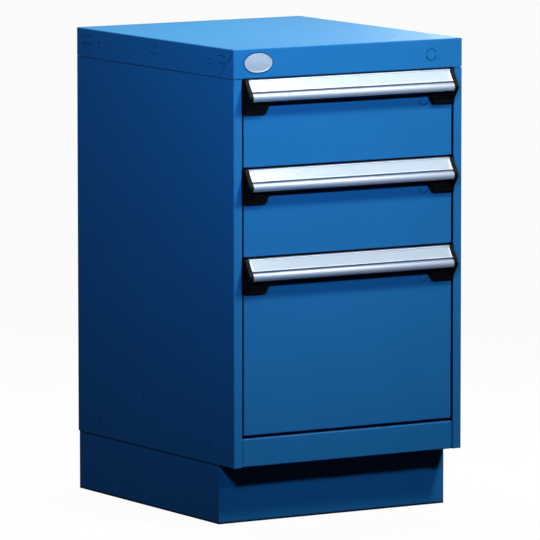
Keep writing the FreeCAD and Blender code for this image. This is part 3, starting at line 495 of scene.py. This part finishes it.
class CABINET_OT_labels(CabinetStep, bpy.types.Operator):
    """Finishes the label cards and their clear covers."""

    bl_idname = "cabinet.labels"
    bl_label = "Labels"

    def execute(self, context):
        paper = label_paper("label_card_paper", self.finish.card, "CAD1DD")
        clear = clear_strip("clear_vinyl_strip", "F2F8FF")
        for number in DRAWERS:
            finish_node("drawer_%d_label_card" % number, paper)
            finish_node("drawer_%d_label_cover" % number, clear)
        return {"FINISHED"}


class CABINET_OT_end_caps(CabinetStep, bpy.types.Operator):
    """Makes the moulded end caps with softened edges."""

    bl_idname = "cabinet.end_caps"
    bl_label = "End caps"

    def execute(self, context):
        nylon = moulded_nylon("black_moulded_nylon", self.finish.nylon, "111111")
        for number in DRAWERS:
            for side in SIDES:
                node = "drawer_%d_cap_%s" % (number, side)
                piece = softened("end_cap_%d_%s" % (number, side), node, self.sizes.cap_edge, nylon)
                join_frame(piece, "drawer_%d" % number, [node])
        return {"FINISHED"}


class CABINET_OT_plate(CabinetStep, bpy.types.Operator):
    """Makes the blank plate at the left of the lid's front skirt."""

    bl_idname = "cabinet.plate"
    bl_label = "Blank plate"

    def execute(self, context):
        material = new_material("pressed_satin_plate", self.finish.plate, 0.45, 0.4)[0]
        centre = Vector((PLATE_X, FRONT_PLANE, LID_TOP - PLATE_BELOW))
        piece = oval_plate("blank_plate", centre, self.sizes.plate_wide, self.sizes.plate_high,
                           PLATE_THICK, PLATE_CROWN, material)
        join_frame(piece, "housing")
        return {"FINISHED"}


class CABINET_OT_stage(bpy.types.Operator):
    """Sets up the floor, the lights and the camera."""

    bl_idname = "cabinet.stage"
    bl_label = "Stage"

    def execute(self, context):
        settings = context.scene.cabinet_stage
        self.floor()
        self.lights(settings)
        self.world(settings)
        self.camera()
        context.scene.view_settings.view_transform = "Standard"
        return {"FINISHED"}

    def floor(self):
        """A floor that is pale to the camera, with a little of the object's shadow. To the rest
        of the scene it is dark, so it throws little light back into the toe recess."""
        work = bmesh.new()
        bmesh.ops.create_grid(work, x_segments=8, y_segments=8, size=30)
        material, tree, shader = new_material("pale_studio_floor", "F0F0F0", 0.0, 0.9)
        dark = add(tree, "BsdfDiffuse", {}, {"Color": linear("181818")})
        glow = add(tree, "Emission", {}, {"Color": (1, 1, 1, 1), "Strength": 1.0})
        glow_share = 0.96
        pale = add(tree, "MixShader", {}, {"Fac": glow_share, 1: shader.outputs[0],
                                           2: glow.outputs[0]})
        seen, mirrored = self.seen_and_mirrored(tree, 0.0, 0.06)
        share = add(tree, "Math", {"operation": "MAXIMUM"}, {0: seen, 1: mirrored})
        mix = add(tree, "MixShader", {}, {"Fac": share.outputs[0], 1: dark.outputs[0],
                                          2: pale.outputs[0]})
        tree.links.new(mix.outputs[0], tree.nodes["Material Output"].inputs["Surface"])
        new_piece("studio_floor", work, material)

    def lights(self, settings):
        """Gridded soft boxes: above, in front and to the right; overhead; small ones on the left
        and in front; and one behind, for the sides that the photograph doesn't show."""
        self.soft_box("key_soft_box", where=(0.93, -1.53, 2.52), target=(0, -0.25, 0.9),
                      size=0.43, spread=60, power=settings.key_power, code="FFF8E4")
        self.soft_box("top_soft_box", where=(0.0, 0.4, 2.8), target=(0, 0.0, 0.8),
                      size=0.6, spread=90, power=settings.top_power, code="FFF8D8")
        self.soft_box("side_soft_box", where=(-1.33, -1.76, 1.38), target=(-0.2, -0.2, 1.35),
                      size=0.25, spread=90, power=settings.side_power, code="93D2FF")
        self.soft_box("front_soft_box", where=(0.69, -2.16, 1.66), target=(0, -0.25, 0.3),
                      size=0.2, spread=70, power=settings.front_power, code="E4EFFF")
        self.soft_box("back_soft_box", where=(2.0, 1.9, 1.6), target=(0, 0.2, 0.4),
                      size=0.5, spread=90, power=settings.back_power, code="FFFFFF")

    def seen_and_mirrored(self, tree, low, high):
        """Two shares: 1 to the camera and through clear things, and 0 to all else; and high to
        what a surface mirrors, and low to all else."""
        path = add(tree, "LightPath")
        seen = add(tree, "Math", {"operation": "MAXIMUM"}, {
            0: path.outputs["Is Camera Ray"], 1: path.outputs["Is Transmission Ray"]})
        return seen.outputs[0], span(tree, path.outputs["Is Glossy Ray"], low, high)

    def soft_box(self, name, where, target, size, spread, power, code):
        """A square lamp aimed at a point, with a grid that narrows its beam to spread degrees."""
        lamp = bpy.data.lights.new(name, "AREA")
        lamp.shape = "SQUARE"
        lamp.size = size
        lamp.spread = math.radians(spread)
        lamp.energy = power
        lamp.color = linear(code)[:3]
        holder = bpy.data.objects.new(name, lamp)
        holder.location = where
        aim = Vector(target) - Vector(where)
        holder.rotation_euler = aim.to_track_quat("-Z", "Y").to_euler()
        bpy.context.scene.collection.objects.link(holder)

    def world(self, settings):
        """Plain white to the camera, and half as bright and slightly cool in what a surface
        mirrors. The even light from all round is off unless the fill setting is raised."""
        world = bpy.data.worlds.new("studio")
        world.use_nodes = True
        bpy.context.scene.world = world
        tree = world.node_tree
        seen, mirrored = self.seen_and_mirrored(tree, settings.fill_strength, 0.5)
        strength = add(tree, "Math", {"operation": "MAXIMUM"}, {0: seen, 1: mirrored})
        background = tree.nodes["Background"]
        tree.links.new(shade(tree, "DCEAFF", "FFFFFF", seen), background.inputs["Color"])
        tree.links.new(strength.outputs[0], background.inputs["Strength"])

    def camera(self):
        """The photograph's view, a long way off through a long lens."""
        lens = bpy.data.cameras.new("photograph_camera")
        lens.sensor_width = 36
        lens.lens = 440.07
        lens.clip_end = 100
        holder = bpy.data.objects.new("photograph_camera", lens)
        left = 5.9306
        in_front = 9.4916
        high = 1.7911
        looks_down = 6.944
        leans = 0.025
        turns_right = 31.312
        holder.location = (-left, FRONT_PLANE - in_front, high)
        holder.rotation_euler = (math.radians(90 - looks_down), math.radians(leans),
                                 math.radians(-turns_right))
        bpy.context.scene.collection.objects.link(holder)
        bpy.context.scene.camera = holder


PIECES = (CABINET_OT_housing, CABINET_OT_slides, CABINET_OT_drawers, CABINET_OT_handles,
          CABINET_OT_labels, CABINET_OT_end_caps, CABINET_OT_plate, CABINET_OT_stage)


class CABINET_PT_panel(bpy.types.Panel):
    """Lists the cabinet's steps and settings."""

    bl_idname = "CABINET_PT_panel"
    bl_label = "Steel drawer cabinet"
    bl_space_type = "VIEW_3D"
    bl_region_type = "UI"
    bl_category = "Cabinet"

    def draw(self, context):
        layout = self.layout
        for group in (context.scene.cabinet_finish, context.scene.cabinet_sizes,
                      context.scene.cabinet_stage):
            box = layout.box()
            for name in group.__annotations__:
                box.prop(group, name)
        for piece in PIECES:
            layout.operator(piece.bl_idname)


GROUPS = (CABINET_PG_finish, CABINET_PG_sizes, CABINET_PG_stage)


def register():
    for cls in (*GROUPS, *PIECES, CABINET_PT_panel):
        bpy.utils.register_class(cls)
    bpy.types.Scene.cabinet_finish = bpy.props.PointerProperty(type=CABINET_PG_finish)
    bpy.types.Scene.cabinet_sizes = bpy.props.PointerProperty(type=CABINET_PG_sizes)
    bpy.types.Scene.cabinet_stage = bpy.props.PointerProperty(type=CABINET_PG_stage)


def unregister():
    del bpy.types.Scene.cabinet_stage
    del bpy.types.Scene.cabinet_sizes
    del bpy.types.Scene.cabinet_finish
    for cls in reversed((*GROUPS, *PIECES, CABINET_PT_panel)):
        bpy.utils.unregister_class(cls)


def main():
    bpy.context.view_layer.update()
    register()
    for piece in PIECES:
        group, step = piece.bl_idname.split(".")
        result = getattr(getattr(bpy.ops, group), step)()
        if result != {"FINISHED"}:
            raise RuntimeError("%s didn't finish" % piece.bl_label)
    bpy.context.view_layer.update()


if __name__ == "__main__":
    main()
